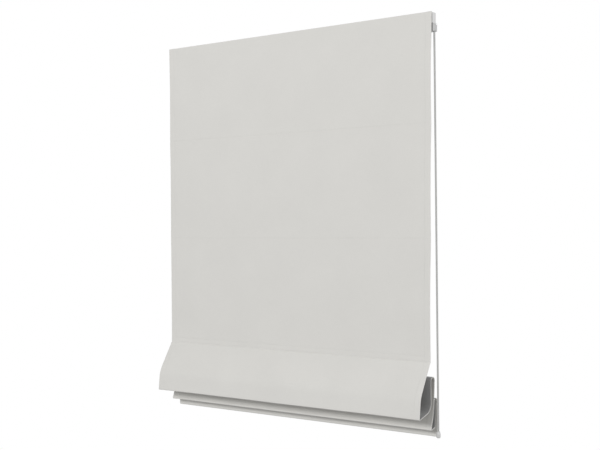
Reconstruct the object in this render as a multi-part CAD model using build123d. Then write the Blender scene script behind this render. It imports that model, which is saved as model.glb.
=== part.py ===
from build123d import *
from math import asin, atan2, cos, degrees, pi, sin, tan
import os

os.makedirs("parts", exist_ok=True)

# Frame: the wall is the plane Y = 0, the blind faces -Y, +X is its right, +Z is up.
# The origin is midway between the two wall screws. All lengths are in millimetres.

# Blind
blind_width = 800.0
top_above_fixing = 14.0
running_gap = 0.3
pin_clearance = 0.05
press_clearance = 0.02
seat_gap = 0.1
overrun = 1.0

# Cloth
cloth_thickness = 1.2
layer_gap = 0.3
heading_turn = 26.0
heading_height = 45.0
heading_bend_radius = 400.0
heading_fold_radius = 1.3
side_draw_in = 6.5
panel_lean = 9.0
rod_spacing = 265.0
panel_rods = 3

# Folds at the foot, measured from the crease under the last panel rod
crease_radius = 6.0
fold_radius = 2.2
fold_1_reach = 54.0
fold_1_drop = 124.0
fold_1_belly_reach_share = 0.87
fold_1_belly_drop_share = 0.62
fold_1_belly_radius = 60.0
fold_1_return_drop = 111.0
fold_1_return_radius = 24.0
layer_2_back = 3.0
crest_2_drop = 36.0
crest_2_width = 17.0
crest_2_radius = 8.0
fold_2_drop = 156.5
fold_2_knee_back = 16.0
fold_2_knee_drop = 90.0
fold_2_knee_radius = 60.0
fold_2_belly_back = 11.0
fold_2_belly_drop = 125.0
fold_2_belly_radius = 20.0
fold_2_return_drop = 151.5
fold_2_return_radius = 7.0
layer_4_back = 21.0
crest_3_drop = 86.0
crest_3_width = 9.0
crest_3_radius = 4.0
hem_drop = 175.0
hem_turn = 40.0
hem_close = 10.0
hem_close_radius = 8.0
hem_fold_share = 0.45

# Hem bar
hem_bar_thickness = 4.0
hem_bar_height = 25.0
hem_bar_edge_radius = 1.8
hem_bar_clearance = 0.4
hem_bar_foot_gap = 1.3
hem_bar_inset = 6.0
hem_cap_length = 4.0
hem_cap_round_radius = 0.9

# Rods, their pocket tapes and the rings for the lift cords
rod_diameter = 4.0
rod_clearance = 0.3
tape_thickness = 0.6
tape_width = 12.0
tape_inset = 5.0
tape_below_bend = 0.6
rod_inset = 3.0
rod_above_crease = 9.0
ring_mean_radius = 4.2
ring_wire_radius = 0.8
ring_reach = 13.0
ring_shank_width = 3.0
eye_mean_radius = 3.0

# Headrail
rail_standoff = 16.0
rail_depth = 17.0
rail_height = 24.0
rail_wall = 1.5
rail_lip = 2.0
rail_below_top = 1.0
rail_corner_radius = 1.4
rail_corner_wall_share = 0.95
rail_hook_reach = 5.0
rail_hook_drop = 6.0
rail_ledge_reach = 3.0
cap_thickness = 3.0
cap_plug_length = 8.0
cap_clearance = 0.2
hook_tape_thickness = 1.2
loop_tape_thickness = 1.2
grip_tape_height = 19.0
grip_tape_inset = 6.0

# Wall brackets
bracket_inset = 100.0
bracket_width = 30.0
bracket_thickness = 2.0
bracket_foot_gap = 1.0
bracket_hole_radius = 2.25
bracket_corner_radius = 4.0
bracket_bend_radius = 1.0
lock_screw_radius = 1.9
lock_screw_head_radius = 3.4
lock_screw_head_height = 2.0

# Cord guides and pulleys
guide_inset = 100.0
guide_length = 26.0
guide_cheek_top = 4.5
guide_shoulder_radius = 2.7
guide_floor = 1.5
guide_neck_length = 20.0
guide_neck_gap = 0.3
guide_pocket_length = 16.0
guide_mouth_length = 14.0
guide_mouth_width = 7.8
pulley_axis_height = 12.0
pulley_radius = 6.0
pulley_groove_depth = 1.0
pulley_grooves = 3
pulley_groove_spacing = 2.6
pulley_groove_foot = 0.6
pulley_groove_mouth = 2.2
pulley_side_gap = 0.4
pulley_pin_radius = 1.25

# Cords
lift_cord_diameter = 1.4
lift_cord_bend_radius = 30.0
knot_radius = 2.2
pull_cord_diameter = 4.4
cord_end_radius = 5.0
cord_end_height = 15.0
cord_end_lip_radius = 3.6
cord_end_shoulder = 3.4
cord_end_foot = 2.4
cord_end_round_radius = 1.6
cord_end_socket_depth = 8.0
cord_end_socket_gap = 0.2

# Cord lock
lock_past_edge = 3.5
lock_length = 30.0
lock_depth = 15.0
lock_height = 19.0
lock_wall = 1.5
lock_corner_radius = 2.5
lock_mouth_length = 11.0
lock_mouth_depth = 9.5
lock_foot_length = 5.0
lock_cord_spacing = 1.5
lock_outlet_radius = 3.0
lock_roller_radius = 5.2
lock_roller_groove_depth = 1.0
lock_roller_groove_width = 5.6
lock_roller_axis_drop = 11.0
lock_roller_pin_radius = 1.25
lock_run_start = 18.0
pawl_pin_radius = 1.0
pawl_hub_radius = 2.4
pawl_from_roller = 14.0
pawl_axis_drop = 13.0
pawl_head_length = 5.0
pawl_head_offset = 3.2
pawl_width = 7.0
pawl_teeth = 4
pawl_tooth_height = 0.7

# Places worked out from the sizes above
bracket_spacing = blind_width - 2 * bracket_inset
guide_spacing = blind_width / 2 - guide_inset
z_top = top_above_fixing
y_rail_back = -rail_standoff
y_rail_front = y_rail_back - rail_depth
y_rail_mid = y_rail_back - rail_depth / 2
z_rail_top = z_top - rail_below_top
z_rail_bottom = z_rail_top - rail_height
rail_half_length = blind_width / 2 - cap_thickness
slot_width = rail_depth - 2 * rail_wall - 2 * rail_lip
y_hook_tape_front = y_rail_front - hook_tape_thickness
y_loop_tape_front = y_hook_tape_front - loop_tape_thickness
y_heading_turn = y_loop_tape_front
y_heading = y_heading_turn - 2 * cloth_thickness - layer_gap
y_crease = y_heading - panel_lean
z_crease = z_top - panel_rods * rod_spacing
z_hem = z_crease - hem_drop
body_width = blind_width - 2 * side_draw_in
tape_length = body_width - 2 * tape_inset
rod_length = tape_length - 2 * rod_inset
pocket_radius = rod_diameter / 2 + rod_clearance + tape_thickness
z_pulley = z_rail_bottom + pulley_axis_height
lift_cord_radius = lift_cord_diameter / 2
pulley_cord_radius = pulley_radius - pulley_groove_depth + running_gap + lift_cord_radius
z_cord_run = z_pulley + pulley_cord_radius
guide_places = {"left": -guide_spacing, "mid": 0.0, "right": guide_spacing}
cord_lanes = {"left": 1, "mid": 0, "right": -1}
z_lock_top = z_rail_bottom - seat_gap
z_lock_bottom = z_lock_top - lock_height
x_lock_right = blind_width / 2 + lock_past_edge
x_lock_left = x_lock_right - lock_length
roller_groove_radius = lock_roller_radius - lock_roller_groove_depth
roller_cord_radius = roller_groove_radius + running_gap + lift_cord_radius
x_roller = x_lock_right - lock_wall - running_gap - lock_roller_radius - lift_cord_diameter
z_roller = z_lock_top - lock_roller_axis_drop
x_pull = x_roller + roller_cord_radius
z_cord_end_bottom = z_hem

part_plane = Plane.YZ


def along_x(section, length, middle=0.0):
    """A Y, Z section drawn out along X, centred on middle."""
    solid = extrude(part_plane * section, amount=length / 2, both=True)
    return Pos(middle, 0, 0) * solid


def pin_along_y(x, z, radius, y_front, y_back):
    """A round pin whose axis runs from the front to the back."""
    length = y_back - y_front
    return Pos(x, (y_front + y_back) / 2, z) * Rot(90, 0, 0) * Cylinder(radius, length)


def block(x_range, y_range, z_range):
    """A block between pairs of places."""
    sizes = [high - low for low, high in (x_range, y_range, z_range)]
    middle = [(high + low) / 2 for low, high in (x_range, y_range, z_range)]
    return Pos(*middle) * Box(*sizes)


def tube_along(name, points, radii, radius):
    """A round cord along straight runs joined by tangent arcs."""
    print(name, "bend radii", [round(bend, 2) for bend in radii])
    route = FilletPolyline(*points, radius=radii)
    start = Plane(origin=route @ 0, z_dir=route % 0)
    return sweep(start * Circle(radius), path=route)


def cloth_route():
    """Corners of the cloth's face side from its turned heading to its turned hem, with their radii."""
    pocket = hem_bar_thickness + 2 * hem_bar_clearance
    y_hem_front = y_crease + layer_4_back + crest_3_width
    y_hem_back = y_hem_front + 2 * cloth_thickness + pocket
    hem_radius = cloth_thickness + pocket * hem_fold_share
    z_return = z_crease - fold_2_return_drop
    z_crest_2 = z_crease - crest_2_drop
    z_crest_3 = z_crease - crest_3_drop
    belly_y = y_crease - fold_1_reach * fold_1_belly_reach_share
    belly_z = z_crease - fold_1_drop * fold_1_belly_drop_share
    return [
        (y_heading_turn, z_top - heading_turn, 0),
        (y_heading_turn, z_top, heading_fold_radius),
        (y_heading, z_top, heading_fold_radius),
        (y_heading, z_top - heading_height, heading_bend_radius),
        (y_crease, z_crease, crease_radius),
        (belly_y, belly_z, fold_1_belly_radius),
        (y_crease - fold_1_reach, z_crease - fold_1_drop, fold_radius),
        (y_crease + layer_2_back, z_crease - fold_1_return_drop, fold_1_return_radius),
        (y_crease + layer_2_back, z_crest_2, crest_2_radius),
        (y_crease + layer_2_back + crest_2_width, z_crest_2, crest_2_radius),
        (y_crease + fold_2_knee_back, z_crease - fold_2_knee_drop, fold_2_knee_radius),
        (y_crease + fold_2_belly_back, z_crease - fold_2_belly_drop, fold_2_belly_radius),
        (y_crease, z_crease - fold_2_drop, fold_radius),
        (y_crease + layer_4_back, z_return, fold_2_return_radius),
        (y_crease + layer_4_back, z_crest_3, crest_3_radius),
        (y_hem_front, z_crest_3, crest_3_radius),
        (y_hem_front, z_hem, hem_radius),
        (y_hem_back, z_hem, hem_radius),
        (y_hem_back, z_hem + hem_turn - hem_close, hem_close_radius),
        (y_hem_front + 2 * cloth_thickness + layer_gap, z_hem + hem_turn, 0),
    ]


def make_fabric():
    """The whole cloth as one folded sheet, a little narrower below its heading."""
    corners = cloth_route()
    points = [(y, z) for y, z, radius in corners]
    radii = [radius for y, z, radius in corners[1:-1]]
    face_line = Wire(FilletPolyline(*points, radius=radii).edges())
    print("cloth length", round(face_line.length, 1))
    section = make_face(face_line.offset_2d(cloth_thickness, side=Side.LEFT, closed=True).edges())
    sheet = along_x(section, blind_width)
    half = blind_width / 2
    body_half = body_width / 2
    z_full = z_top - heading_height
    z_low = z_hem - overrun
    z_high = z_top + overrun
    outline = Polyline(
        (-half, z_high),
        (-half, z_full),
        (-body_half, z_crease),
        (-body_half, z_low),
        (body_half, z_low),
        (body_half, z_crease),
        (half, z_full),
        (half, z_high),
        close=True,
    )
    depth = rail_standoff + rail_depth + panel_lean + fold_1_reach + fold_1_reach
    trim = extrude(Plane.XZ * make_face(outline), amount=depth)
    return sheet & trim


def panel_face_y(z):
    """The face of the flat panel at a height."""
    z_full = z_top - heading_height
    share = (z_full - z) / (z_full - z_crease)
    return y_heading - panel_lean * share


def rod_places():
    """Centre and turn of each rod's pocket, as y, z and the angle of its tape from upright."""
    offset = cloth_thickness + seat_gap + pocket_radius
    lean = degrees(atan2(panel_lean, z_top - heading_height - z_crease))
    places = []
    for number in range(1, panel_rods + 1):
        z_rod = z_top - number * rod_spacing + rod_above_crease
        places.append((panel_face_y(z_rod) + offset, z_rod, -lean))
    y_crest = y_crease + layer_2_back + crest_2_width
    forward = y_crest - y_crease - fold_2_knee_back
    down = fold_2_knee_drop - crest_2_drop
    lean_2 = atan2(forward, down)
    bend = crest_2_radius * tan((pi / 2 + lean_2) / 2)
    along = bend + tape_width / 2 + tape_below_bend
    y_rod = y_crest - along * sin(lean_2) + offset * cos(lean_2)
    z_rod = z_crease - crest_2_drop - along * cos(lean_2) - offset * sin(lean_2)
    places.append((y_rod, z_rod, -degrees(lean_2)))
    y_hem_front = y_crease + layer_4_back + crest_3_width
    z_low_rod = z_crease - crest_3_drop - crest_3_radius - tape_below_bend - tape_width / 2
    places.append((y_hem_front + offset, z_low_rod, 0.0))
    return places


def make_rod_tape(y, z, turn):
    """A sewn tape with a round pocket; its flat side lies on the cloth."""
    strip_middle = tape_thickness / 2 - pocket_radius
    strip = Pos(strip_middle, 0) * Rectangle(tape_thickness, tape_width)
    pocket = Circle(pocket_radius) - Circle(pocket_radius - tape_thickness)
    section = strip + pocket - Circle(pocket_radius - tape_thickness)
    return along_x(Pos(y, z) * Rot(0, 0, turn) * section, tape_length)


def make_rod(y, z):
    """A round stiffening rod."""
    return along_x(Pos(y, z) * Circle(rod_diameter / 2), rod_length)


def cord_x(side):
    """Where a lift cord drops from its guide pulley."""
    return guide_places[side] - pulley_cord_radius


def make_ring(x, y, z):
    """A ring behind a rod, on a flat shank that is sewn to the pocket."""
    ring = Torus(ring_mean_radius, ring_wire_radius)
    y_pocket = pocket_radius + seat_gap - ring_reach
    y_ring = -ring_mean_radius
    half = ring_shank_width / 2
    shank = block((-half, half), (y_pocket, y_ring), (-ring_wire_radius, ring_wire_radius))
    return Pos(x, y + ring_reach, z) * (ring + shank)


def make_eye(x, y, z):
    """An upright eye on the lowest pocket, to which a lift cord is tied."""
    lift = pocket_radius + seat_gap + eye_mean_radius + ring_wire_radius
    return Pos(x, y, z + lift) * Rot(90, 0, 0) * Torus(eye_mean_radius, ring_wire_radius)


def make_cord_rings():
    """All the rings and eyes."""
    places = rod_places()
    pieces = []
    for side in guide_places:
        for y, z, turn in places[:-1]:
            pieces.append(make_ring(cord_x(side), y, z))
        y, z, turn = places[-1]
        pieces.append(make_eye(cord_x(side), y, z))
    return Compound(children=pieces)


def knot_height():
    """Centre of the knots above the eyes of the lowest rod."""
    y, z, turn = rod_places()[-1]
    eye_top = z + pocket_radius + seat_gap + 2 * eye_mean_radius + 2 * ring_wire_radius
    return eye_top + seat_gap + knot_radius


def make_cord_knots():
    """The knots that tie the lift cords to their eyes."""
    y, z, turn = rod_places()[-1]
    knots = [Pos(cord_x(side), y, knot_height()) * Sphere(knot_radius) for side in guide_places]
    return Compound(children=knots)


def make_lift_cord(side):
    """A lift cord from its knot up through the rings, over its pulley and along the rail to the lock."""
    x = cord_x(side)
    lane = y_rail_mid + cord_lanes[side] * pulley_groove_spacing
    exit_lane = y_rail_mid + cord_lanes[side] * lock_cord_spacing
    places = rod_places()
    points = [(x, places[-1][0], knot_height() + knot_radius)]
    turning = [places[panel_rods], places[panel_rods - 1], places[0]]
    points += [(x, y + ring_reach, z) for y, z, turn in turning]
    radii = [lift_cord_bend_radius for place in turning]
    points.append((x, lane, z_rail_bottom))
    radii.append(lift_cord_bend_radius)
    points.append((x, lane, z_cord_run))
    radii.append(pulley_cord_radius)
    x_bend = guide_spacing + lock_run_start
    across = x_roller - x_bend
    down = z_cord_run - z_roller
    reach = (across**2 + down**2) ** 0.5
    fall = atan2(down, across) - asin(roller_cord_radius / reach)
    points.append((x_bend, lane, z_cord_run))
    radii.append(lift_cord_bend_radius)
    points.append((x_pull, exit_lane, z_cord_run - (x_pull - x_bend) * tan(fall)))
    radii.append(roller_cord_radius)
    points.append((x_pull, exit_lane, z_lock_bottom + lock_wall))
    return tube_along(f"lift_cord_{side}", points, radii, lift_cord_radius)


def make_pull_cord():
    """The free cord, from the lock's outlet down into its end weight."""
    z_high = z_lock_bottom + lock_wall
    z_low = z_cord_end_bottom + cord_end_height - cord_end_socket_depth + cord_end_socket_gap
    length = z_high - z_low
    return Pos(x_pull, y_rail_mid, (z_high + z_low) / 2) * Cylinder(pull_cord_diameter / 2, length)


def make_cord_end():
    """A turned weight, rounded at its foot, with a socket for the cord."""
    height = cord_end_height
    socket = pull_cord_diameter / 2 + cord_end_socket_gap
    z_floor = height - cord_end_socket_depth
    profile = Polyline(
        (0, 0),
        (cord_end_lip_radius, 0),
        (cord_end_radius, cord_end_foot),
        (cord_end_radius, height - cord_end_shoulder - cord_end_foot),
        (cord_end_lip_radius, height),
        (socket, height),
        (socket, z_floor),
        (0, z_floor),
        close=True,
    )
    outline = make_face(profile)
    rounded = [v for v in outline.vertices() if v.X > socket + overrun / 2 and v.Y < height]
    outline = fillet(rounded, cord_end_round_radius)
    weight = revolve(Plane.XZ * outline, axis=Axis.Z)
    return Pos(x_pull, y_rail_mid, z_cord_end_bottom) * weight


def make_headrail():
    """The extruded channel, open below, with a hook and a ledge along its back."""
    back, front = y_rail_back, y_rail_front
    top, bottom = z_rail_top, z_rail_bottom
    wall = rail_wall
    hook = back + rail_hook_reach
    ledge = back + rail_ledge_reach
    outline = Polyline(
        (front, bottom),
        (front, top),
        (hook, top),
        (hook, top - rail_hook_drop),
        (hook - wall, top - rail_hook_drop),
        (hook - wall, top - wall),
        (back, top - wall),
        (back, bottom + wall),
        (ledge, bottom + wall),
        (ledge, bottom),
        (back - wall - rail_lip, bottom),
        (back - wall - rail_lip, bottom + wall),
        (back - wall, bottom + wall),
        (back - wall, top - wall),
        (front + wall, top - wall),
        (front + wall, bottom + wall),
        (front + wall + rail_lip, bottom + wall),
        (front + wall + rail_lip, bottom),
        close=True,
    )
    section = make_face(outline)
    outer_corners = [v for v in section.vertices() if v.Y > top - wall / 2]
    section = fillet(outer_corners, min(rail_corner_radius, wall * rail_corner_wall_share))
    return along_x(section, 2 * rail_half_length)


def make_end_cap(side):
    """A moulded cap with a plug in the end of the rail."""
    hand = -1 if side == "left" else 1
    z_middle = (z_rail_top + z_rail_bottom) / 2
    plate = RectangleRounded(rail_depth, rail_height, rail_corner_radius)
    plug_depth = rail_depth - 2 * rail_wall - 2 * cap_clearance
    plug_height = rail_height - 2 * rail_wall - 2 * cap_clearance
    plug = RectangleRounded(plug_depth, plug_height, rail_corner_radius)
    hollow = RectangleRounded(plug_depth - 2 * rail_wall, plug_height - 2 * rail_wall, rail_corner_radius)
    x_plate = hand * (rail_half_length + cap_thickness / 2)
    x_plug = hand * (rail_half_length - cap_plug_length / 2)
    place = Pos(y_rail_mid, z_middle)
    cap = along_x(place * plate, cap_thickness, x_plate)
    return cap + along_x(place * (plug - hollow), cap_plug_length, x_plug)


def make_grip_tape(y_front, thickness):
    """A flat strip of hook or loop tape on the front of the rail."""
    half = rail_half_length - grip_tape_inset
    z_high = z_rail_top - rail_corner_radius
    return block((-half, half), (y_front, y_front + thickness), (z_high - grip_tape_height, z_high))


def bracket_heights():
    """Heights of the bracket's arm, lip top and foot."""
    z_arm = z_rail_top - rail_hook_drop - bracket_foot_gap
    z_lip = z_rail_top - rail_wall - seat_gap
    z_foot = z_rail_bottom - bracket_foot_gap
    return z_arm, z_lip, z_foot


def lock_screw_y():
    """Where the rail's lock screw stands under the ledge."""
    return y_rail_back + rail_ledge_reach / 2


def make_bracket(x):
    """A bent steel bracket: wall plate, arm with an upturned lip, and a foot under the rail."""
    z_arm, z_lip, z_foot = bracket_heights()
    plate = bracket_thickness
    groove_middle = y_rail_back + (rail_hook_reach - rail_wall) / 2
    lip_back = groove_middle + plate / 2
    foot_front = lock_screw_y() - lock_screw_radius - plate
    outer_bend = bracket_bend_radius + plate
    strip = FilletPolyline(
        (foot_front, z_foot - plate),
        (0, z_foot - plate),
        (0, z_arm),
        (lip_back, z_arm),
        (lip_back, z_lip),
        radius=[outer_bend, outer_bend, bracket_bend_radius],
    )
    section = make_face(Wire(strip.edges()).offset_2d(plate, side=Side.LEFT, closed=True).edges())
    bracket = along_x(section, bracket_width, x)
    foot_corners = bracket.edges().filter_by(Axis.Z).group_by(Axis.Y)[0]
    lip_corners = bracket.edges().filter_by(Axis.Y).group_by(Axis.Z)[-1]
    bracket = fillet(foot_corners + lip_corners, bracket_corner_radius)
    bracket -= pin_along_y(x, 0, bracket_hole_radius, -plate - overrun, overrun)
    hole_length = 2 * plate + 2 * overrun
    hole = Cylinder(lock_screw_radius + pin_clearance, hole_length)
    return bracket - Pos(x, lock_screw_y(), z_foot) * hole


def make_bracket_screws():
    """The screws that hold the rail's ledge from below."""
    z_arm, z_lip, z_foot = bracket_heights()
    z_tip = z_rail_bottom - seat_gap
    z_head = z_foot - bracket_thickness - seat_gap
    shank = Pos(0, 0, (z_tip + z_head) / 2) * Cylinder(lock_screw_radius, z_tip - z_head)
    head_place = z_head - lock_screw_head_height / 2
    head = Pos(0, 0, head_place) * Cylinder(lock_screw_head_radius, lock_screw_head_height)
    screws = [Pos(x, lock_screw_y(), 0) * (shank + head) for x in bracket_places()]
    return Compound(children=screws)


def bracket_places():
    """Where the two brackets stand along the rail."""
    return -bracket_spacing / 2, bracket_spacing / 2


def pulley_width():
    """Width of a pulley with its three grooves."""
    return pulley_grooves * pulley_groove_spacing + pulley_groove_foot


def make_guide(x):
    """A moulded guide in the rail, with cheeks for the pulley and a mouth for the cord below."""
    inner_half = (rail_depth - 2 * rail_wall - 2 * running_gap) / 2
    pocket_half = pulley_width() / 2 + pulley_side_gap
    neck_half = slot_width / 2 - guide_neck_gap
    y = y_rail_mid
    z_low = z_rail_bottom + rail_wall + seat_gap
    z_high = z_pulley + guide_cheek_top
    half = guide_length / 2
    body = block((-half, half), (-inner_half, inner_half), (z_low, z_high))
    body = fillet(body.edges().filter_by(Axis.Y).sort_by(Axis.Z)[-2:], guide_shoulder_radius)
    neck = guide_neck_length / 2
    body += block((-neck, neck), (-neck_half, neck_half), (z_rail_bottom, z_low))
    pocket = guide_pocket_length / 2
    z_pocket = z_low + guide_floor
    body -= block((-pocket, pocket), (-pocket_half, pocket_half), (z_pocket, z_high + overrun))
    mouth = guide_mouth_length / 2
    mouth_half = guide_mouth_width / 2
    body -= block((-mouth, mouth), (-mouth_half, mouth_half), (z_rail_bottom - overrun, z_high))
    guide = Pos(x, y, 0) * body
    reach = inner_half + overrun
    return guide - pin_along_y(x, z_pulley, pulley_pin_radius + press_clearance, y - reach, y + reach)


def make_pulley(x):
    """A pulley with three grooves, turned about an axis from front to back."""
    half = pulley_width() / 2
    bore = pulley_pin_radius + pin_clearance
    foot = pulley_radius - pulley_groove_depth
    outline = [(bore, -half), (pulley_radius, -half)]
    for number in range(pulley_grooves):
        middle = (number - (pulley_grooves - 1) / 2) * pulley_groove_spacing
        outline.append((pulley_radius, middle - pulley_groove_mouth / 2))
        outline.append((foot, middle - pulley_groove_foot / 2))
        outline.append((foot, middle + pulley_groove_foot / 2))
        outline.append((pulley_radius, middle + pulley_groove_mouth / 2))
    outline += [(pulley_radius, half), (bore, half)]
    pulley = revolve(Plane.XZ * make_face(Polyline(*outline, close=True)), axis=Axis.Z)
    return Pos(x, y_rail_mid, z_pulley) * Rot(90, 0, 0) * pulley


def make_pulley_pin(x):
    """The steel pin of a guide pulley."""
    half = (rail_depth - 2 * rail_wall - 2 * running_gap) / 2
    return pin_along_y(x, z_pulley, pulley_pin_radius, y_rail_mid - half, y_rail_mid + half)


def lock_faces():
    """Front and back of the lock."""
    return y_rail_mid - lock_depth / 2, y_rail_mid + lock_depth / 2


def pawl_axis():
    """Place of the pawl's pin."""
    return x_roller - pawl_from_roller, z_lock_top - pawl_axis_drop


def make_lock_housing():
    """The lock's moulded case, open at the back, with a foot that grips the slot of the rail."""
    y_front, y_back = lock_faces()
    x_middle = (x_lock_left + x_lock_right) / 2
    z_middle = (z_lock_top + z_lock_bottom) / 2
    shell = RectangleRounded(lock_length, lock_height, lock_corner_radius)
    room = RectangleRounded(lock_length - 2 * lock_wall, lock_height - 2 * lock_wall, lock_wall)
    place = Plane(origin=(x_middle, y_front, z_middle), x_dir=(1, 0, 0), z_dir=(0, 1, 0))
    depth = lock_depth - lock_wall
    case = extrude(place * shell, amount=depth)
    case -= extrude(place.offset(lock_wall) * room, amount=depth)
    x_mouth = x_lock_left + lock_wall + lock_mouth_length
    z_mouth = z_lock_top - lock_mouth_depth
    y_mouth = y_front + lock_wall
    case -= block((x_lock_left - overrun, x_mouth), (y_mouth, y_back), (z_mouth, z_lock_top + overrun))
    outlet = Cylinder(lock_outlet_radius, 2 * lock_wall + overrun)
    case -= Pos(x_pull, y_rail_mid, z_lock_bottom + lock_wall / 2) * outlet
    x_pawl, z_pawl = pawl_axis()
    y_through = y_front - overrun
    for x, z, radius in ((x_roller, z_roller, lock_roller_pin_radius), (x_pawl, z_pawl, pawl_pin_radius)):
        case -= pin_along_y(x, z, radius + press_clearance, y_through, y_front + depth)
    x_foot = blind_width / 2 - cap_thickness - cap_plug_length - seat_gap
    neck_half = slot_width / 2 - guide_neck_gap
    foot_half = (rail_depth - 2 * rail_wall - 2 * running_gap) / 2
    z_lip = z_rail_bottom + rail_wall + seat_gap
    y = y_rail_mid
    y_rear = min(y + neck_half, y_back - lock_wall)
    neck_top = z_lip + rail_wall
    x_range = (x_foot - lock_foot_length, x_foot)
    case += block(x_range, (y - neck_half, y_rear), (z_lock_top - lock_wall / 2, neck_top))
    return case + block(x_range, (y - foot_half, y + foot_half), (z_lip, neck_top))


def make_lock_cover():
    """The plate that closes the back of the lock and carries the pins."""
    y_front, y_back = lock_faces()
    x_middle = (x_lock_left + x_lock_right) / 2
    z_middle = (z_lock_top + z_lock_bottom) / 2
    plate = RectangleRounded(lock_length, lock_height, lock_corner_radius)
    y_plate = y_back - lock_wall
    place = Plane(origin=(x_middle, y_plate, z_middle), x_dir=(1, 0, 0), z_dir=(0, 1, 0))
    cover = extrude(place * plate, amount=lock_wall)
    x_pawl, z_pawl = pawl_axis()
    y_through = y_plate - overrun
    for x, z, radius in ((x_roller, z_roller, lock_roller_pin_radius), (x_pawl, z_pawl, pawl_pin_radius)):
        cover -= pin_along_y(x, z, radius + press_clearance, y_through, y_back + overrun)
    return cover


def make_lock_roller():
    """The roller that turns the cords down, with one wide groove."""
    half = lock_depth / 2 - lock_wall - running_gap
    groove_half = lock_roller_groove_width / 2
    bore = lock_roller_pin_radius + pin_clearance
    outline = Polyline(
        (bore, -half),
        (lock_roller_radius, -half),
        (lock_roller_radius, -groove_half),
        (roller_groove_radius, -groove_half),
        (roller_groove_radius, groove_half),
        (lock_roller_radius, groove_half),
        (lock_roller_radius, half),
        (bore, half),
        close=True,
    )
    roller = revolve(Plane.XZ * make_face(outline), axis=Axis.Z)
    return Pos(x_roller, y_rail_mid, z_roller) * Rot(90, 0, 0) * roller


def make_lock_pin(x, z, radius):
    """A steel pin through the lock."""
    y_front, y_back = lock_faces()
    return pin_along_y(x, z, radius, y_front, y_back)


def cord_height_in_lock(x):
    """Height of the lift cords' middle line at a place in the lock."""
    x_bend = guide_spacing + lock_run_start
    across = x_roller - x_bend
    down = z_cord_run - z_roller
    reach = (across**2 + down**2) ** 0.5
    fall = atan2(down, across) - asin(roller_cord_radius / reach)
    return z_cord_run - (x - x_bend) * tan(fall)


def make_lock_pawl():
    """A toothed pawl under the cords, which pinches them when they are let go."""
    x_pawl, z_pawl = pawl_axis()
    x_left = x_pawl + pawl_head_offset - pawl_head_length / 2
    x_right = x_left + pawl_head_length
    z_head = cord_height_in_lock(x_right) - lift_cord_radius - running_gap
    z_root = z_head - pawl_tooth_height
    crown = [(x_left, z_root)]
    pitch = pawl_head_length / pawl_teeth
    for tooth in range(pawl_teeth):
        crown.append((x_left + tooth * pitch, z_head))
        crown.append((x_left + (tooth + 1) * pitch, z_root))
    foot = [(x_pawl + pawl_hub_radius, z_pawl), (x_pawl - pawl_hub_radius, z_pawl)]
    arm = Polyline(*crown, *foot, close=True)
    profile = make_face(arm) + Pos(x_pawl, z_pawl) * Circle(pawl_hub_radius)
    profile -= Pos(x_pawl, z_pawl) * Circle(pawl_pin_radius + pin_clearance)
    pawl = extrude(Plane.XZ * profile, amount=pawl_width / 2, both=True)
    return Pos(0, y_rail_mid, 0) * pawl


def make_hem_bar():
    """The flat bar in the hem pocket."""
    y = hem_bar_y()
    z = z_hem + cloth_thickness + hem_bar_foot_gap + hem_bar_height / 2
    section = RectangleRounded(hem_bar_thickness, hem_bar_height, hem_bar_edge_radius)
    return along_x(Pos(y, z) * section, body_width - 2 * hem_bar_inset)


def hem_bar_y():
    """Middle of the hem pocket."""
    y_hem_front = y_crease + layer_4_back + crest_3_width
    return y_hem_front + cloth_thickness + hem_bar_clearance + hem_bar_thickness / 2


def make_hem_cap(side):
    """A rounded cap on an end of the hem bar."""
    hand = -1 if side == "left" else 1
    z = z_hem + cloth_thickness + hem_bar_foot_gap + hem_bar_height / 2
    section = RectangleRounded(hem_bar_thickness, hem_bar_height, hem_bar_edge_radius)
    x = hand * (body_width / 2 - hem_bar_inset + hem_cap_length / 2)
    cap = along_x(Pos(hem_bar_y(), z) * section, hem_cap_length, x)
    face = cap.faces().sort_by(Axis.X)[-1 if hand > 0 else 0]
    return fillet(face.edges(), hem_cap_round_radius)


nodes = {
    "headrail": make_headrail(),
    "end_cap_left": make_end_cap("left"),
    "end_cap_right": make_end_cap("right"),
    "hook_tape": make_grip_tape(y_hook_tape_front, hook_tape_thickness),
    "loop_tape": make_grip_tape(y_loop_tape_front, loop_tape_thickness),
    "fabric": make_fabric(),
    "hem_bar": make_hem_bar(),
    "cord_rings": make_cord_rings(),
    "cord_knots": make_cord_knots(),
    "pull_cord": make_pull_cord(),
    "cord_end": make_cord_end(),
    "bracket_screws": make_bracket_screws(),
    "lock_housing": make_lock_housing(),
    "lock_cover": make_lock_cover(),
    "lock_roller": make_lock_roller(),
    "lock_roller_pin": make_lock_pin(x_roller, z_roller, lock_roller_pin_radius),
    "lock_pawl": make_lock_pawl(),
    "lock_pawl_pin": make_lock_pin(*pawl_axis(), pawl_pin_radius),
}
for number, (y, z, turn) in enumerate(rod_places(), start=1):
    nodes[f"rod_tape_{number}"] = make_rod_tape(y, z, turn)
    nodes[f"rod_{number}"] = make_rod(y, z)
for side, x in zip(("left", "right"), bracket_places()):
    nodes[f"wall_bracket_{side}"] = make_bracket(x)
    nodes[f"hem_bar_cap_{side}"] = make_hem_cap(side)
for side, x in guide_places.items():
    nodes[f"cord_guide_{side}"] = make_guide(x)
    nodes[f"guide_pulley_{side}"] = make_pulley(x)
    nodes[f"pulley_pin_{side}"] = make_pulley_pin(x)
    nodes[f"lift_cord_{side}"] = make_lift_cord(side)

for name, shape in nodes.items():
    export_step(shape, f"parts/{name}.step")
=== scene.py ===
from math import acos, atan2, cos, exp, hypot, pi, radians, sin, tan

import bpy
import bmesh
from mathutils import Matrix, Vector


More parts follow.
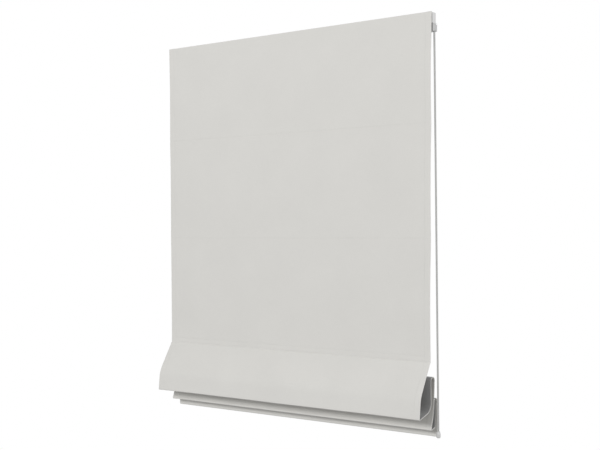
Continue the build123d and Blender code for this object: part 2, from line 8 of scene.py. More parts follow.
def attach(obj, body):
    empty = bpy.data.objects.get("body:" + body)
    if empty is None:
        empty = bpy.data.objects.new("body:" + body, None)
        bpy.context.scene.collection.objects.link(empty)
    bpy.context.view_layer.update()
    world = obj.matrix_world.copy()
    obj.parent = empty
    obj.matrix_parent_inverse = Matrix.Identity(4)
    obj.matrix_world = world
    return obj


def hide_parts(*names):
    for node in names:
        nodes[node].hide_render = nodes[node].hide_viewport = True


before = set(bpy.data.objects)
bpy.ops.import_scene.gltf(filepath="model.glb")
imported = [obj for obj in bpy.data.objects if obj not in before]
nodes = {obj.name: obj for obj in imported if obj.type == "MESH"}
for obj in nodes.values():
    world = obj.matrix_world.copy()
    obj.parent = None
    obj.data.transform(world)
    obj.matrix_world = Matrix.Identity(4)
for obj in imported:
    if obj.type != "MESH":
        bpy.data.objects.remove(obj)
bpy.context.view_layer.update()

blind = "blind"

# Cloth, in metres. The wall is y = 0, the blind faces -y and hangs down z.
half_width = 0.400
side_draw_in = 0.0065
top = 0.014
y_turn = -0.0354
cloth = 0.0012
layer_gap = 0.0003
heading_turn = 0.026
heading_height = 0.045
heading_bend_radius = 0.400
heading_fold_radius = 0.0013
panel_lean = 0.009
rod_spacing = 0.265
rod_above_crease = 0.009
rod_count = 3

# Folds at the foot, measured from the crease under the last panel rod
crease_radius = 0.006
fold_radius = 0.0022
fold_1_reach = 0.054
fold_1_drop = 0.124
fold_1_belly_reach_share = 0.87
fold_1_belly_drop_share = 0.62
fold_1_belly_radius = 0.060
fold_1_return_drop = 0.111
fold_1_return_radius = 0.024
layer_2_back = 0.003
crest_2_drop = 0.036
crest_2_width = 0.017
crest_2_radius = 0.008
fold_2_knee_back = 0.016
fold_2_knee_drop = 0.090
fold_2_knee_radius = 0.060
fold_2_belly_back = 0.011
fold_2_belly_drop = 0.125
fold_2_belly_radius = 0.020
fold_2_drop = 0.1565
fold_2_return_drop = 0.1515
fold_2_return_radius = 0.007
layer_4_back = 0.021
crest_3_drop = 0.086
crest_3_width = 0.009
crest_3_radius = 0.004
hem_drop = 0.175
hem_turn = 0.040
hem_close = 0.010
hem_close_radius = 0.008
hem_pocket = 0.0048
hem_fold_radius = 0.00336

# Pull cord
cord_x = 0.4003
cord_y = -0.0245
cord_top = -0.0286
cord_foot = -0.9488
cord_diameter = 0.0044
cord_stops = 9

# Pocket tapes behind the cloth
pocket_radius = 0.0029
tape_half = 0.0060
tape_thick = 0.0006
tape_reach = 0.3885
tape_seat = 0.0001
tape_below_bend = 0.0006
tape_edge_wave = 0.00022
tape_edge_power = 4
tape_edge_turns = 210
tape_edge_shift = 1.7
tape_upper_shift = 2.0
pocket_wave = 0.00005
pocket_turns = 330

# Places worked out from the sizes above
y_heading = y_turn - 2 * cloth - layer_gap
y_crease = y_heading - panel_lean
z_full = top - heading_height
z_crease = top - rod_count * rod_spacing
z_hem = z_crease - hem_drop
y_crest_2_back = y_crease + layer_2_back + crest_2_width
y_hem = y_crease + layer_4_back + crest_3_width
y_hem_back = y_hem + 2 * cloth + hem_pocket

# The cloth's face side from its turned heading to its turned hem: y, z, radius
cloth_corners = [
    (y_turn, top - heading_turn, 0),
    (y_turn, top, heading_fold_radius),
    (y_heading, top, heading_fold_radius),
    (y_heading, z_full, heading_bend_radius),
    (y_crease, z_crease, crease_radius),
    (
        y_crease - fold_1_belly_reach_share * fold_1_reach,
        z_crease - fold_1_belly_drop_share * fold_1_drop,
        fold_1_belly_radius,
    ),
    (y_crease - fold_1_reach, z_crease - fold_1_drop, fold_radius),
    (y_crease + layer_2_back, z_crease - fold_1_return_drop, fold_1_return_radius),
    (y_crease + layer_2_back, z_crease - crest_2_drop, crest_2_radius),
    (y_crest_2_back, z_crease - crest_2_drop, crest_2_radius),
    (y_crease + fold_2_knee_back, z_crease - fold_2_knee_drop, fold_2_knee_radius),
    (y_crease + fold_2_belly_back, z_crease - fold_2_belly_drop, fold_2_belly_radius),
    (y_crease, z_crease - fold_2_drop, fold_radius),
    (y_crease + layer_4_back, z_crease - fold_2_return_drop, fold_2_return_radius),
    (y_crease + layer_4_back, z_crease - crest_3_drop, crest_3_radius),
    (y_hem, z_crease - crest_3_drop, crest_3_radius),
    (y_hem, z_hem, hem_fold_radius),
    (y_hem_back, z_hem, hem_fold_radius),
    (y_hem_back, z_hem + hem_turn - hem_close, hem_close_radius),
    (y_hem + 2 * cloth + layer_gap, z_hem + hem_turn, 0),
]

# How the cloth hangs: slack between rods, waves, the pressed crease and the hems
panel_slack = 0.0010
panel_waves = [  # height, length across, start, turn a bay, turn down a bay
    (0.0011, 0.31, 0.6, 0.5, 0.0),
    (0.0007, 0.17, 2.1, -0.7, 1.1),
    (0.0004, 0.083, 4.0, 1.3, 0.0),
]
flap_waves = [  # height, length across, start, turn a metre down
    (0.0016, 0.42, 1.0, 0.0),
    (0.0009, 0.19, 0.4, 9.0),
    (0.0005, 0.095, 2.4, 0.0),
]
crease_waves = [(0.00020, 0.27, 0.8), (0.00010, 0.061, 0.0)]  # height, length across, start
crease_depth = 0.00085
crease_width = 0.0012
flap_middle = 0.080
flap_spread = 0.050
flap_fade = 0.45
first_bay_above = 0.020
side_tucks = {-1: 0.0010, 1: 0.0014}
side_tuck_power = 6
side_hem_width = 0.0145
side_hem_thick = 0.00025
side_seam_inset = 0.0150
side_seam_depth = 0.00022
side_seam_width = 0.0009

# Stitches
stitch_pitch = 0.0042
stitch_length = 0.0028
stitch_thick = 0.00032
stitch_lift = 0.00006
stitch_end_share = 0.5
stitch_above_rod = 0.0045
stitch_groove_depth = 0.00016
stitch_groove_width = 0.0016
stitch_row_inset = 0.004
side_seam_start = 0.004
side_seam_end = 0.006
hem_stitch_height = 0.037
tape_stitch_thick = 0.00030
tape_stitch_lift = 0.00003
tape_stitch_inset = 0.003
tape_stitch_share = 0.72

# Fineness of the meshes
pocket_steps = 14
tape_stations = 150
tape_edge_shares = (0.8, 0.62)
cloth_step = 0.006
cloth_arc_step = radians(14)
cloth_arc_least = 3
stitch_row_steps = (-0.004, -0.002, -0.001, 0, 0.001, 0.002, 0.004)
crease_step = 0.0005
crease_steps = 6
closest_rows = 0.0002
edge_insets = [0.0, 0.0008, 0.004, 0.009, 0.0135, 0.0144, 0.0150, 0.0158, 0.018, 0.024]
middle_columns = 84
middle_share = 0.92
search_reach = 0.001


def place_object(name, data):
    """A new object in the scene."""
    obj = bpy.data.objects.new(name, data)
    bpy.context.scene.collection.objects.link(obj)
    return obj


def finish_mesh(name, made):
    """A new object from a finished bmesh."""
    mesh = bpy.data.meshes.new(name)
    made.to_mesh(mesh)
    made.free()
    return place_object(name, mesh)


# Cloth


def rounded_line(corners, step):
    """Places along a line with rounded corners: y, z, tangent y, tangent z, length so far."""
    pieces = []
    start = Vector(corners[0][:2])
    for before, corner, after in zip(corners, corners[1:], corners[2:]):
        here = Vector(corner[:2])
        into = (here - Vector(before[:2])).normalized()
        out = (Vector(after[:2]) - here).normalized()
        turn = atan2(into.x * out.y - into.y * out.x, into.dot(out))
        cut = corner[2] * tan(abs(turn) / 2)
        pieces.append((start, here - into * cut, 0, 0))
        pieces.append((here - into * cut, here + out * cut, corner[2], turn))
        start = here + out * cut
    pieces.append((start, Vector(corners[-1][:2]), 0, 0))
    line = []
    run = 0.0
    direction = None
    for begin, end, radius, turn in pieces:
        if radius:
            length = abs(turn) * radius
            count = max(cloth_arc_least, int(length / step) + 1, int(abs(turn) / cloth_arc_step) + 1)
            side = 1 if turn > 0 else -1
            centre = begin + side * radius * Vector((-direction.y, direction.x))
            arm = begin - centre
            for i in range(count):
                angle = turn * i / count
                place = centre + Matrix.Rotation(angle, 2) @ arm
                heading = Matrix.Rotation(angle, 2) @ direction
                line.append((place.x, place.y, heading.x, heading.y, run + length * i / count))
            direction = Matrix.Rotation(turn, 2) @ direction
            run += length
        else:
            length = (end - begin).length
            direction = (end - begin).normalized()
            count = max(1, int(length / step) + 1)
            for i in range(count):
                place = begin + (end - begin) * i / count
                line.append((place.x, place.y, direction.x, direction.y, run + length * i / count))
            run += length
    last = corners[-1]
    line.append((last[0], last[1], direction.x, direction.y, run))
    return line


def half_at(z):
    """Half the cloth's width at a height."""
    if z >= z_full:
        return half_width
    share = min(1.0, (z_full - z) / (z_full - z_crease))
    return half_width - side_draw_in * share


def bump(x, width):
    """A smooth hump of height one."""
    return exp(-((x / width) ** 2))


def ripple(x, height, length, start):
    """A wave across the cloth."""
    return height * sin(2 * pi * x / length + start)


rod_heights = [top - (i + 1) * rod_spacing + rod_above_crease for i in range(rod_count)]
cloth_line = rounded_line(cloth_corners, cloth_step)
cloth_length = cloth_line[-1][4]


def length_at(y_low, y_high, z):
    """Length along the cloth where it passes a height between two depths."""
    near = [p for p in cloth_line if y_low - search_reach <= p[0] <= y_high + search_reach]
    return min((abs(p[1] - z), p[4]) for p in near)[1]


crease_length = length_at(y_crease, y_crease, z_crease)
rod_lengths = [length_at(y_crease, y_heading, z) for z in rod_heights]
stitch_lengths = [s - stitch_above_rod for s in rod_lengths]
heading_length = length_at(y_heading, y_heading, z_full)
bay_ends = [heading_length - first_bay_above] + rod_lengths
hem_stitch_length = length_at(y_hem, y_hem, z_hem + hem_stitch_height)


def refine(line):
    """The cloth's line with closer places beside the crease and each row of stitches."""
    extra = [s + d for s in stitch_lengths for d in stitch_row_steps]
    extra += [crease_length + crease_step * i for i in range(-crease_steps, crease_steps + 1)]
    out = list(line)
    for s in extra:
        for a, b in zip(line, line[1:]):
            if a[4] < s < b[4]:
                w = (s - a[4]) / (b[4] - a[4])
                out.append(tuple(p + (q - p) * w for p, q in zip(a[:4], b[:4])) + (s,))
                break
    out.sort(key=lambda p: p[4])
    kept = [out[0]]
    for p in out[1:]:
        if p[4] - kept[-1][4] > closest_rows:
            kept.append(p)
    return kept


def drape(u, s):
    """How far the cloth stands out from its flat section, in metres; u runs across from -1 to 1."""
    x = u * half_width
    if s < bay_ends[0]:
        return 0.0
    for number, (a, b) in enumerate(zip(bay_ends, bay_ends[1:])):
        if a <= s <= b:
            w = (s - a) / (b - a)
            slack = sin(pi * w) ** 2
            bands = sum(
                ripple(x, height, length, start + bay_turn * number + down_turn * w)
                for height, length, start, bay_turn, down_turn in panel_waves
            )
            row = sum(bump(s - r, stitch_groove_width) for r in stitch_lengths)
            return slack * (panel_slack + bands) - stitch_groove_depth * row
    after = s - bay_ends[-1]
    fade = max(0.0, 1.0 - after / flap_fade)
    flap = bump(after - flap_middle, flap_spread)
    waves = sum(
        ripple(x, height, length, start + turn * after) for height, length, start, turn in flap_waves
    )
    pressed = crease_depth + sum(ripple(x, *wave) for wave in crease_waves)
    return flap * fade * waves - pressed * bump(s - crease_length, crease_width)


def edge_tuck(u, s):
    """How far the sides draw in between the rods, in metres."""
    for a, b in zip(bay_ends, bay_ends[1:]):
        if a <= s <= b:
            w = (s - a) / (b - a)
            return side_tucks[1 if u > 0 else -1] * sin(pi * w) * abs(u) ** side_tuck_power
    return 0.0


def cloth_place(u, p, inset, side):
    """A place on the cloth's face (side 0) or reverse (side 1)."""
    y, z, ty, tz, s = p
    half = half_at(z)
    x = (half - inset) * (1 if u > 0 else -1) if inset is not None else u * half
    u_real = x / half
    x -= edge_tuck(u_real, s) * (1 if u_real > 0 else -1)
    back_y, back_z = -tz, ty
    edge = half - abs(x)
    out = drape(u_real, s)
    if side == 0:
        hem = side_hem_thick if edge < side_hem_width else 0.0
        out += hem - side_seam_depth * bump(edge - side_seam_inset, side_seam_width)
    shift = side * cloth - out
    return (x, y + back_y * shift, z + back_z * shift)


def cloth_columns():
    """Places across the cloth: a share of the half width, or a distance in from an edge."""
    columns = [(-1, inset) for inset in edge_insets]
    for i in range(middle_columns + 1):
        columns.append((-middle_share + 2 * middle_share * i / middle_columns, None))
    columns += [(1, inset) for inset in reversed(edge_insets)]
    return columns


def make_cloth():
    """The whole cloth as one closed sheet with a face and a reverse."""
    line = refine(cloth_line)
    columns = cloth_columns()
    rows, across = len(line), len(columns)
    mesh = bpy.data.meshes.new("roman_cloth")
    places = []
    flat = []
    for side in (0, 1):
        for p in line:
            for u, inset in columns:
                places.append(cloth_place(u, p, inset, side))
                flat.append((places[-1][0], p[4]))
    faces = []
    slots = []
    back = rows * across
    for r in range(rows - 1):
        for c in range(across - 1):
            a = r * across + c
            faces.append((a, a + across, a + across + 1, a + 1))
            slots.append(0)
            faces.append((back + a, back + a + 1, back + a + across + 1, back + a + across))
            slots.append(1)
        for c in (0, across - 1):
            a = r * across + c
            quad = (a, back + a, back + a + across, a + across)
            faces.append(quad if c == 0 else quad[::-1])
            slots.append(0)
    for r in (0, rows - 1):
        for c in range(across - 1):
            a = r * across + c
            quad = (a, a + 1, back + a + 1, back + a)
            faces.append(quad if r == 0 else quad[::-1])
            slots.append(0)
    mesh.from_pydata(places, [], faces)
    mesh.polygons.foreach_set("material_index", slots)
    mesh.polygons.foreach_set("use_smooth", [True] * len(faces))
    lay = mesh.uv_layers.new(name="cloth")
    for loop in mesh.loops:
        lay.data[loop.index].uv = flat[loop.vertex_index]
    mesh.update()
    return place_object("roman_cloth", mesh)


# Stitches and pocket tapes


def line_at(s):
    """The cloth's line at a length along it."""
    for a, b in zip(cloth_line, cloth_line[1:]):
        if a[4] <= s <= b[4]:
            w = (s - a[4]) / (b[4] - a[4])
            return tuple(p + (q - p) * w for p, q in zip(a, b))
    return cloth_line[-1]


def add_stitch(made, a, b, out, thick):
    """One stitch from a to b, a closed lozenge that stands a little out of the cloth."""
    along = (b - a).normalized()
    wide = along.cross(out).normalized() * thick
    mid = (a + b) / 2
    end = wide * stitch_end_share
    a_left, a_right = made.verts.new(a + end), made.verts.new(a - end)
    left, crown, right = (made.verts.new(mid + d) for d in (wide, out * thick, -wide))
    b_left, b_right = made.verts.new(b + end), made.verts.new(b - end)
    made.faces.new((a_left, left, crown))
    made.faces.new((a_left, crown, a_right))
    made.faces.new((a_right, crown, right))
    made.faces.new((b_left, crown, left))
    made.faces.new((b_left, b_right, crown))
    made.faces.new((b_right, right, crown))
    made.faces.new((a_left, a_right, right, b_right, b_left, left))


def make_stitching():
    """Rows of stitches across the cloth at the rods and the hem, and down both side hems."""
    made = bmesh.new()
    for s in [*stitch_lengths, hem_stitch_length]:
        p = line_at(s)
        half = half_at(p[1]) - stitch_row_inset
        out = Vector((0, p[3], -p[2]))
        for i in range(int(2 * half / stitch_pitch)):
            ends = []
            for d in (0, stitch_length):
                x = -half + i * stitch_pitch + d
                ends.append(Vector(cloth_place(x / half_at(p[1]), p, None, 0)) + out * stitch_lift)
            add_stitch(made, ends[0], ends[1], out, stitch_thick)
    start = heading_length - heading_height + side_seam_start
    count = int((cloth_length - start - side_seam_end) / stitch_pitch)
    for hand in (-1, 1):
        for i in range(count):
            ends = []
            for d in (0, stitch_length):
                p = line_at(start + i * stitch_pitch + d)
                out = Vector((0, p[3], -p[2]))
                ends.append(Vector(cloth_place(hand, p, side_seam_inset, 0)) + out * stitch_lift)
            add_stitch(made, ends[0], ends[1], out, stitch_thick)
    return finish_mesh("cloth_stitching", made)


def rod_seats():
    """Centre of each rod's pocket, and the way its tape faces away from the cloth: y, z, out y, out z."""
    offset = cloth + tape_seat + pocket_radius
    lean = atan2(panel_lean, z_full - z_crease)
    seats = []
    for z in rod_heights:
        face = y_heading - panel_lean * (z_full - z) / (z_full - z_crease)
        seats.append((face + offset, z, cos(lean), -sin(lean)))
    knee_y = layer_2_back + crest_2_width - fold_2_knee_back
    lean_2 = atan2(knee_y, fold_2_knee_drop - crest_2_drop)
    along = crest_2_radius * tan((pi / 2 + lean_2) / 2) + tape_half + tape_below_bend
    y = y_crest_2_back - along * sin(lean_2) + offset * cos(lean_2)
    z = z_crease - crest_2_drop - along * cos(lean_2) - offset * sin(lean_2)
    seats.append((y, z, cos(lean_2), -sin(lean_2)))
    z = z_crease - crest_3_drop - crest_3_radius - tape_below_bend - tape_half
    seats.append((y_hem + offset, z, 1.0, 0.0))
    return seats


def tape_outline():
    """Half-round pocket on a flat tape, in tape height and distance from the pocket's centre."""
    rise = pocket_radius - tape_thick
    spread = acos(rise / pocket_radius)
    low, back = -pocket_radius, -rise
    edge = [tape_half] + [tape_half * share for share in tape_edge_shares]
    outline = [(-tape_half, low)] + [(-h, back) for h in edge]
    for i in range(pocket_steps + 1):
        angle = -(pi - spread) + 2 * (pi - spread) * i / pocket_steps
        outline.append((pocket_radius * sin(angle), pocket_radius * cos(angle)))
    return outline + [(h, back) for h in reversed(edge)] + [(tape_half, low)]


def make_tape(number, y, z, out_y, out_z):
    """A woven tape with its rod pocket, sewn along both edges."""
    outline = tape_outline()
    made = bmesh.new()
    lay = made.loops.layers.uv.new("cloth")
    lengths = [0.0]
    for a, b in zip(outline, outline[1:]):
        lengths.append(lengths[-1] + hypot(b[0] - a[0], b[1] - a[1]))
    stations = [-tape_reach + 2 * tape_reach * i / tape_stations for i in range(tape_stations + 1)]
    rings = []
    up_y, up_z = -out_z, out_y
    for x in stations:
        ring = []
        for h, d in outline:
            loose = (abs(h) / tape_half) ** tape_edge_power
            upper = tape_upper_shift if h > 0 else 0.0
            wave = tape_edge_wave * loose * sin(x * tape_edge_turns + number * tape_edge_shift + upper)
            h_here = h - abs(wave) * (1 if h > 0 else -1)
            d_here = d + (pocket_wave * sin(x * pocket_turns + number) if d > 0 else 0.0)
            place = (x, y + up_y * h_here + out_y * d_here, z + up_z * h_here + out_z * d_here)
            ring.append(made.verts.new(place))
        rings.append(ring)
    count = len(outline)
    for i in range(tape_stations):
        for k in range(count):
            n = (k + 1) % count
            face = made.faces.new((rings[i][k], rings[i][n], rings[i + 1][n], rings[i + 1][k]))
            face.smooth = True
            far = lengths[n] if n else lengths[-1] + 2 * tape_half
            flat = ((i, lengths[k]), (i, far), (i + 1, far), (i + 1, lengths[k]))
            for loop, (j, v) in zip(face.loops, flat):
                loop[lay].uv = (stations[j], v)
    made.faces.new(rings[0][::-1])
    made.faces.new(rings[-1])
    bmesh.ops.recalc_face_normals(made, faces=made.faces)
    return finish_mesh(f"pocket_tape_{number}", made)


def make_tape_stitching(seats):
    """Stitches along both edges of every pocket tape."""
    made = bmesh.new()
    count = int(2 * (tape_reach - tape_stitch_inset) / stitch_pitch)
    for y, z, out_y, out_z in seats:
        out = Vector((0, out_y, out_z))
        up = Vector((0, -out_z, out_y))
        base = Vector((0, y, z)) + out * (tape_thick - pocket_radius + tape_stitch_lift)
        for hand in (-1, 1):
            for i in range(count):
                x = -tape_reach + tape_stitch_inset + i * stitch_pitch
                a = base + up * hand * tape_half * tape_stitch_share + Vector((x, 0, 0))
                add_stitch(made, a, a + Vector((stitch_length, 0, 0)), out, tape_stitch_thick)
    return finish_mesh("tape_stitching", made)


# Finishes

slub_stretch_across = (60, 900, 1)
slub_stretch_along = (900, 60, 1)
slub_detail = 3.0
slub_roughness = 0.6
weave_share = 0.35
blotch_scale = 9.0
blotch_detail = 3.0
blotch_roughness = 0.55
slub_tone_share = 0.5
blotch_tone_share = 0.5
braid_tone_share = 0.5
grain_detail = 3.0
grain_tone_scale = 25.0
grain_tone_detail = 3.0


def new_group(name, scale_name):
    """An empty shader group that takes a place and a scale, and gives a height and a tone."""
    group = bpy.data.node_groups.new(name, "ShaderNodeTree")
    group.interface.new_socket(name="Place", in_out="INPUT", socket_type="NodeSocketVector")
    group.interface.new_socket(name=scale_name, in_out="INPUT", socket_type="NodeSocketFloat")
    for label in ("Height", "Tone"):
        group.interface.new_socket(name=label, in_out="OUTPUT", socket_type="NodeSocketFloat")
    return group, group.nodes.new("NodeGroupInput"), group.nodes.new("NodeGroupOutput")


def join(tree, a, b):
    """Links an output to an input."""
    tree.links.new(a, b)


def arithmetic(tree, operation, a, b=None, c=None):
    """A math node whose inputs are values or outputs."""
    node = tree.nodes.new("ShaderNodeMath")
    node.operation = operation
    for socket, value in zip(node.inputs, (a, b, c)):
        if value is None:
            continue
        if isinstance(value, (int, float)):
            socket.default_value = value
        else:
            join(tree, value, socket)
    return node.outputs[0]


def noise(tree, vector, scale, detail, roughness=0.5):
    """Smooth noise from 0 to 1."""
    node = tree.nodes.new("ShaderNodeTexNoise")
    node.inputs["Scale"].default_value = scale
    node.inputs["Detail"].default_value = detail
    node.inputs["Roughness"].default_value = roughness
    join(tree, vector, node.inputs["Vector"])
    return node.outputs[0]


def slub(tree, vector, scale):
    """Uneven threads that run along one axis."""
    node = tree.nodes.new("ShaderNodeMapping")
    node.inputs["Scale"].default_value = scale
    join(tree, vector, node.inputs["Vector"])
    return noise(tree, node.outputs[0], 1.0, slub_detail, slub_roughness)


def strands(tree, distance, turns):
    """A row of round strands across a distance."""
    return arithmetic(tree, "SINE", arithmetic(tree, "MULTIPLY", distance, turns))


def weave_group():
    """Threads of a plain weave with slubs, from a flat place in metres."""
    group, given, out = new_group("plain weave", "Thread")
    place = given.outputs["Place"]
    parts = group.nodes.new("ShaderNodeSeparateXYZ")
    join(group, place, parts.inputs[0])
    turns = arithmetic(group, "DIVIDE", pi, given.outputs["Thread"])
    warp = strands(group, parts.outputs[0], turns)
    weft = strands(group, parts.outputs[1], turns)
    over = arithmetic(group, "MULTIPLY", warp, weft)
    slub_across = slub(group, place, slub_stretch_across)
    slub_along = slub(group, place, slub_stretch_along)
    slubs = arithmetic(group, "ADD", slub_across, slub_along)
    join(group, arithmetic(group, "MULTIPLY_ADD", over, weave_share, slubs), out.inputs["Height"])
    blotch = noise(group, place, blotch_scale, blotch_detail, blotch_roughness)
    patches = arithmetic(group, "MULTIPLY", blotch, blotch_tone_share)
    join(group, arithmetic(group, "MULTIPLY_ADD", slubs, slub_tone_share, patches), out.inputs["Tone"])
    return group


def braid_group():
    """Crossing strands of a braided cord, from a place in metres."""
    group, given, out = new_group("braid", "Strand")
    parts = group.nodes.new("ShaderNodeSeparateXYZ")
    join(group, given.outputs["Place"], parts.inputs[0])
    turns = arithmetic(group, "DIVIDE", pi, given.outputs["Strand"])
    around = arithmetic(group, "ADD", parts.outputs[0], parts.outputs[1])
    rising = strands(group, arithmetic(group, "ADD", parts.outputs[2], around), turns)
    falling = strands(group, arithmetic(group, "SUBTRACT", parts.outputs[2], around), turns)
    over = arithmetic(group, "MULTIPLY", rising, falling)
    join(group, over, out.inputs["Height"])
    tone = arithmetic(group, "MULTIPLY_ADD", over, braid_tone_share, braid_tone_share)
    join(group, tone, out.inputs["Tone"])
    return group


def grain_group():
    """Fine unevenness of a moulded, painted or drawn surface, from a place in metres."""
    group, given, out = new_group("surface grain", "Scale")
    node = group.nodes.new("ShaderNodeTexNoise")
    node.inputs["Detail"].default_value = grain_detail
    join(group, given.outputs["Place"], node.inputs["Vector"])
    join(group, given.outputs["Scale"], node.inputs["Scale"])
    join(group, node.outputs[0], out.inputs["Height"])
    tone = noise(group, given.outputs["Place"], grain_tone_scale, grain_tone_detail)
    join(group, tone, out.inputs["Tone"])
    return group


weave = weave_group()
braid = braid_group()
grain = grain_group()


def shade(name, color, group, scale, depth, tones, rough, flat=False, metal=0.0, sheen=0.0):
    """A material whose tone and relief come from a group; flat ones follow the cloth's own places."""
    material = bpy.data.materials.new(name)
    material.use_nodes = True
    tree = material.node_tree
    surface = tree.nodes["Principled BSDF"]
    surface.inputs["Roughness"].default_value = rough
    surface.inputs["Metallic"].default_value = metal
    surface.inputs["Sheen Weight"].default_value = sheen
    effect = tree.nodes.new("ShaderNodeGroup")
    effect.node_tree = group
    effect.inputs[1].default_value = scale
    if flat:
        place = tree.nodes.new("ShaderNodeUVMap")
        place.uv_map = "cloth"
        join(tree, place.outputs[0], effect.inputs["Place"])
    else:
        place = tree.nodes.new("ShaderNodeTexCoord")
        join(tree, place.outputs["Object"], effect.inputs["Place"])
    ramp = tree.nodes.new("ShaderNodeMapRange")
    ramp.inputs["To Min"].default_value = tones[0]
    ramp.inputs["To Max"].default_value = tones[1]
    join(tree, effect.outputs["Tone"], ramp.inputs["Value"])
    tint = tree.nodes.new("ShaderNodeVectorMath")
    tint.operation = "SCALE"
    tint.inputs[0].default_value = color
    join(tree, ramp.outputs[0], tint.inputs["Scale"])
    join(tree, tint.outputs[0], surface.inputs["Base Color"])
    relief = tree.nodes.new("ShaderNodeBump")
    relief.inputs["Strength"].default_value = 1.0
    relief.inputs["Distance"].default_value = depth
    join(tree, effect.outputs["Height"], relief.inputs["Height"])
    join(tree, relief.outputs[0], surface.inputs["Normal"])
    return material


def paint(obj, material):
    """One material over a whole piece."""
    obj.data.materials.clear()
    obj.data.materials.append(material)


cloth_face = shade(
    "off-white cloth", (0.69, 0.681, 0.653), weave,
    scale=0.0011, depth=0.00010, tones=(0.93, 1.05), rough=0.92, flat=True, sheen=0.15,
)
cloth_reverse = shade(
    "grey lining", (0.44, 0.44, 0.436), weave,
    scale=0.0009, depth=0.00008, tones=(0.82, 1.14), rough=0.92, flat=True, sheen=0.10,
)
thread = shade(
    "sewing thread", (0.67, 0.66, 0.64), braid,
    scale=0.0005, depth=0.00003, tones=(0.94, 1.04), rough=0.8,
)
# The pocket tape is white cloth; its colour here is darkened to light grey as painted shade, for tape
# that sits in shade behind the cloth.
tape_cloth_with_painted_shade = shade(
    "pocket tape", (0.53, 0.53, 0.52), weave,
    scale=0.0008, depth=0.00010, tones=(0.90, 1.06), rough=0.9, flat=True,
)
nap = shade(
    "hook and loop tape", (0.71, 0.71, 0.69), grain,
    scale=2500.0, depth=0.00025, tones=(0.85, 1.05), rough=0.95,
)
cord_cloth = shade(
    "braided cord", (0.53, 0.53, 0.52), braid,
    scale=0.0016, depth=0.00025, tones=(0.80, 1.06), rough=0.85,
)
lift_cloth = shade(
    "thin braided cord", (0.62, 0.62, 0.60), braid,
    scale=0.0008, depth=0.00010, tones=(0.85, 1.05), rough=0.85,
)
rail_paint = shade(
    "white powder coat", (0.68, 0.68, 0.675), grain,
    scale=1500.0, depth=0.00002, tones=(0.97, 1.02), rough=0.45,
)
white_plastic = shade(
    "white moulded plastic", (0.76, 0.76, 0.755), grain,
    scale=900.0, depth=0.00002, tones=(0.97, 1.02), rough=0.42,
)
lock_plastic = shade(
    "grey-white lock plastic", (0.57, 0.57, 0.565), grain,
    scale=900.0, depth=0.00003, tones=(0.96, 1.02), rough=0.45,
)
ring_plastic = shade(
    "ring plastic", (0.71, 0.71, 0.69), grain,
    scale=800.0, depth=0.00001, tones=(0.97, 1.02), rough=0.25,
)
rod_plastic = shade(
    "drawn rod", (0.69, 0.69, 0.65), grain,
    scale=600.0, depth=0.00002, tones=(0.95, 1.03), rough=0.35,
)
steel = shade(
    "ground steel", (0.56, 0.56, 0.57), grain,
    scale=2200.0, depth=0.00001, tones=(0.92, 1.04), rough=0.3, metal=1.0,
)
zinc = shade(
    "zinc-plated steel", (0.60, 0.61, 0.63), grain,
    scale=350.0, depth=0.00002, tones=(0.85, 1.06), rough=0.38, metal=1.0,
)
brass = shade(
    "plain brass", (0.70, 0.52, 0.24), grain,
    scale=900.0, depth=0.00002, tones=(0.90, 1.04), rough=0.35, metal=1.0,
)

looks = {
    "headrail": rail_paint,
    "hem_bar": rail_paint,
    "hook_tape": nap,
    "loop_tape": nap,
    "cord_rings": ring_plastic,
    "cord_knots": lift_cloth,
    "cord_end": lock_plastic,
    "bracket_screws": steel,
    "lock_housing": lock_plastic,
    "lock_cover": lock_plastic,
    "lock_roller": ring_plastic,
    "lock_roller_pin": steel,
    "lock_pawl": brass,
    "lock_pawl_pin": steel,
}
for number in range(1, len(rod_seats()) + 1):
    looks[f"rod_{number}"] = rod_plastic
for side in ("left", "mid", "right"):
    looks[f"cord_guide_{side}"] = white_plastic
    looks[f"guide_pulley_{side}"] = ring_plastic
    looks[f"pulley_pin_{side}"] = steel
    looks[f"lift_cord_{side}"] = lift_cloth
for side in ("left", "right"):
    looks[f"end_cap_{side}"] = white_plastic
    looks[f"hem_bar_cap_{side}"] = white_plastic
    looks[f"wall_bracket_{side}"] = zinc
for name, material in looks.items():
    paint(nodes[name], material)


# Pieces

sheet = make_cloth()
sheet.data.materials.append(cloth_face)
sheet.data.materials.append(cloth_reverse)
stitching = make_stitching()
paint(stitching, thread)
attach(sheet, blind)
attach(stitching, blind)
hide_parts("fabric")
for number, seat in enumerate(rod_seats(), start=1):
    tape = make_tape(number, *seat)
    paint(tape, tape_cloth_with_painted_shade)
    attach(tape, blind)
    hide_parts(f"rod_tape_{number}")
tape_stitching = make_tape_stitching(rod_seats())
paint(tape_stitching, thread)
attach(tape_stitching, blind)


def make_pull_cord():
    """The free cord, hanging straight from the lock into its weight."""
    curve = bpy.data.curves.new("hanging_cord", "CURVE")
    curve.dimensions = "3D"
    curve.bevel_depth = cord_diameter / 2
    curve.bevel_resolution = 4
    curve.resolution_u = 8
    curve.use_fill_caps = True
    spline = curve.splines.new("NURBS")
    spline.points.add(cord_stops - 1)
    for i, point in enumerate(spline.points):
        z = cord_top + (cord_foot - cord_top) * i / (cord_stops - 1)
        point.co = (cord_x, cord_y, z, 1)
    spline.order_u = 3
    spline.use_endpoint_u = True
    return place_object("hanging_cord", curve)


pull_cord = make_pull_cord()
paint(pull_cord, cord_cloth)
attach(pull_cord, blind)
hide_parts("pull_cord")


# Stage

room_light = 0.44
camera_place = (1.45329, -2.05402, -0.46134)
camera_azimuth = radians(35.222)
camera_rise = radians(-0.154)
camera_roll = radians(-0.602)
focal_pixels = 994.92
picture_pixels = 600
sensor_width = 36.0


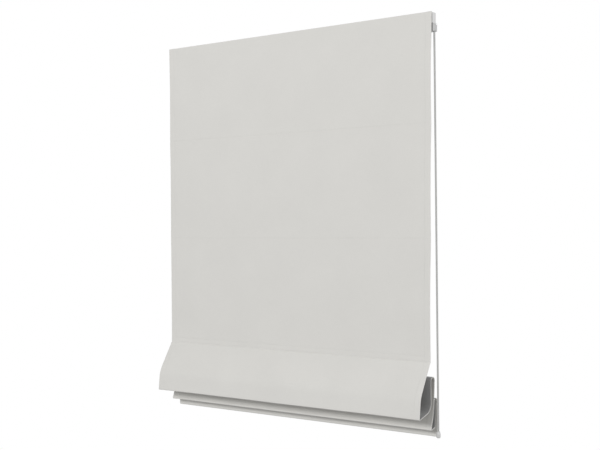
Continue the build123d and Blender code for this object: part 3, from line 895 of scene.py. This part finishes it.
def make_world():
    """A white room: plain white behind the blind and in mirrors, and soft light from all round."""
    world = bpy.data.worlds.new("white room")
    bpy.context.scene.world = world
    world.use_nodes = True
    tree = world.node_tree
    tree.nodes.clear()
    out = tree.nodes.new("ShaderNodeOutputWorld")
    light = tree.nodes.new("ShaderNodeBackground")
    light.inputs["Color"].default_value = (1, 1, 1, 1)
    light.inputs["Strength"].default_value = room_light
    white = tree.nodes.new("ShaderNodeBackground")
    white.inputs["Color"].default_value = (1, 1, 1, 1)
    white.inputs["Strength"].default_value = 1.0
    ray = tree.nodes.new("ShaderNodeLightPath").outputs
    mirrored = arithmetic(tree, "MAXIMUM", ray["Is Glossy Ray"], ray["Is Transmission Ray"])
    mix = tree.nodes.new("ShaderNodeMixShader")
    join(tree, arithmetic(tree, "MAXIMUM", ray["Is Camera Ray"], mirrored), mix.inputs[0])
    join(tree, light.outputs[0], mix.inputs[1])
    join(tree, white.outputs[0], mix.inputs[2])
    join(tree, mix.outputs[0], out.inputs["Surface"])


def area_light(name, place, aim, size, power):
    """A large soft lamp."""
    lamp = bpy.data.lights.new(name, "AREA")
    lamp.shape = "DISK"
    lamp.size = size
    lamp.energy = power
    obj = place_object(name, lamp)
    obj.location = place
    direction = Vector(aim) - Vector(place)
    obj.rotation_euler = direction.to_track_quat("-Z", "Y").to_euler()


def make_camera():
    """The photograph's viewpoint, to the right of the blind and level with its middle."""
    level = cos(camera_rise)
    forward = Vector((-sin(camera_azimuth) * level, cos(camera_azimuth) * level, sin(camera_rise)))
    right = Vector((cos(camera_azimuth), sin(camera_azimuth), 0))
    up = right.cross(forward)
    across = right * cos(camera_roll) + up * sin(camera_roll)
    up = up * cos(camera_roll) - right * sin(camera_roll)
    turn = Matrix((across, up, -forward)).transposed()
    camera = bpy.data.cameras.new("camera")
    camera.sensor_width = sensor_width
    camera.lens = focal_pixels / picture_pixels * sensor_width
    camera.dof.use_dof = False
    obj = place_object("camera", camera)
    obj.matrix_world = Matrix.Translation(camera_place) @ turn.to_4x4()
    bpy.context.scene.camera = obj


make_world()
area_light("window light", place=(0.2, -4.8, 1.05), aim=(0, 0, -0.45), size=1.4, power=125)
area_light("wall on the right", place=(3.5, 0.2, -0.1), aim=(0.4, 0, -0.2), size=0.8, power=37)
area_light("light from behind", place=(-1.6, 4.2, 1.6), aim=(0, 0, -0.45), size=1.2, power=70)
make_camera()
bpy.context.scene.view_settings.view_transform = "Standard"
